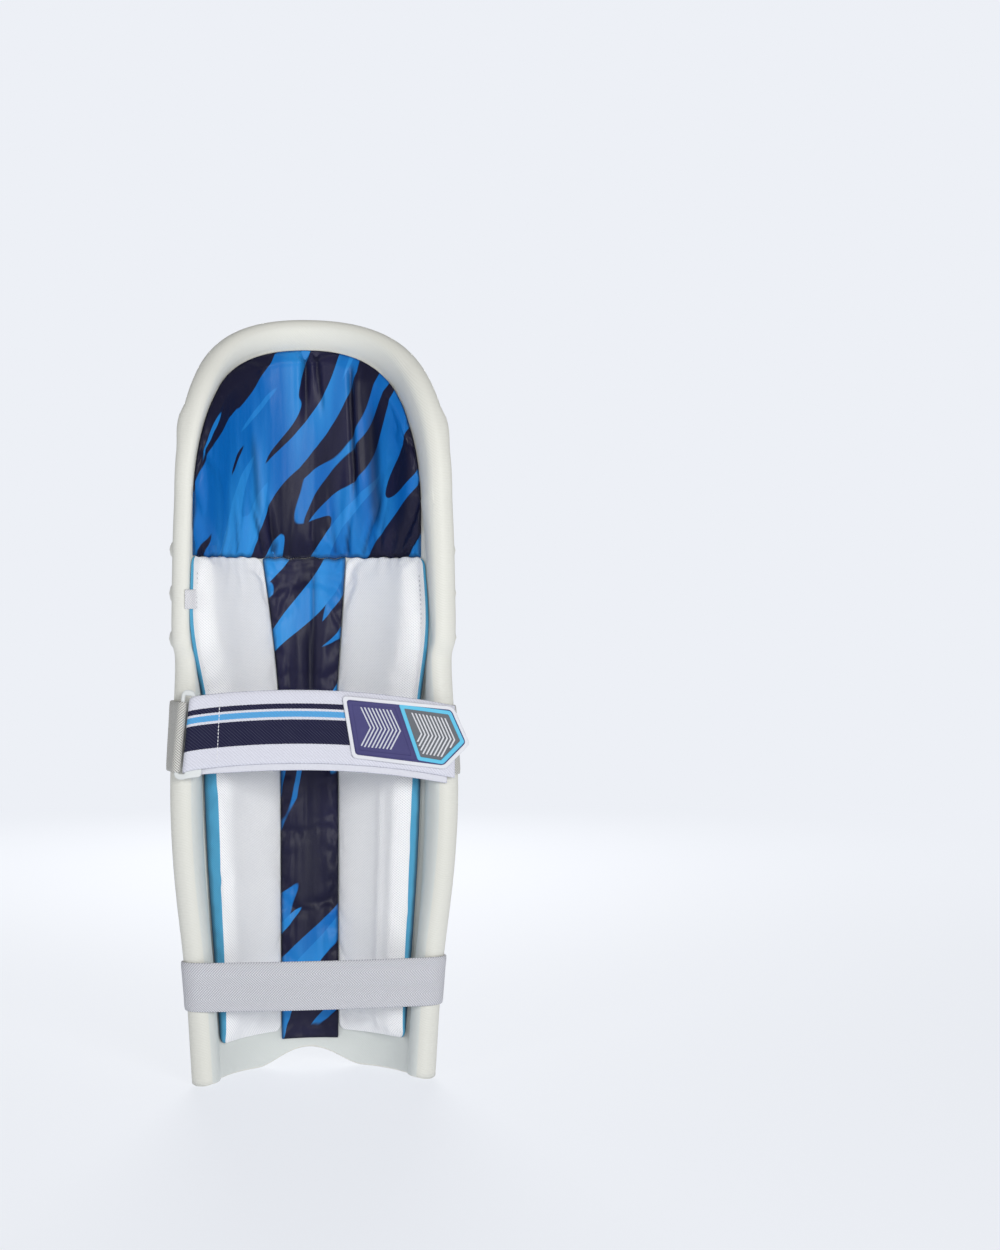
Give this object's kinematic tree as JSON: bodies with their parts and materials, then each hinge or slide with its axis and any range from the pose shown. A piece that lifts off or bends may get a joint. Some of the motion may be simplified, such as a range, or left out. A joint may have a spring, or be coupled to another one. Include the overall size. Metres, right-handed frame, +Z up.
{
  "type": "cricket batting pad (right leg guard)",
  "caption": "Cream cricket batting pad for the right leg, with a ribbed moulded front, padded mesh bolsters, a printed satin lining and a striped calf strap",
  "frame": {"origin": "middle of the floor under the whole pad, which stands on its lower edge", "axes": "+Z up the pad, +Y out of its ribbed front, -Y out of the lined hollow for the leg, +X to the outer side of the leg"},
  "size_m": [0.2768, 0.1476, 0.71],
  "materials": {
    "foam_skin": "cream coated skin over moulded foam, fine twill grain",
    "lining_satin": "navy and blue printed satin",
    "bolster_mesh": "white air mesh with sky-blue side gusset",
    "herringbone_webbing": "silver-grey herringbone webbing",
    "ring_plastic": "milky white moulded plastic",
    "strap_fabric": "white woven strap with navy and sky-blue stripes",
    "patch_rubber": "moulded soft rubber, white border, navy and sky-blue fields",
    "tag_fabric": "plain white woven tag"
  },
  "bodies": {
    "root": {"shell": "foam_skin", "knee_lining": "lining_satin", "shin_lining": "lining_satin", "inner_bolster": "bolster_mesh", "outer_bolster": "bolster_mesh", "inner_anchor": "herringbone_webbing", "outer_anchor": "herringbone_webbing", "strap_ring": "ring_plastic", "calf_strap": "strap_fabric", "strap_patch": "patch_rubber", "side_tag": "tag_fabric", "ankle_strap": "herringbone_webbing"}
  },
  "joints": []
}
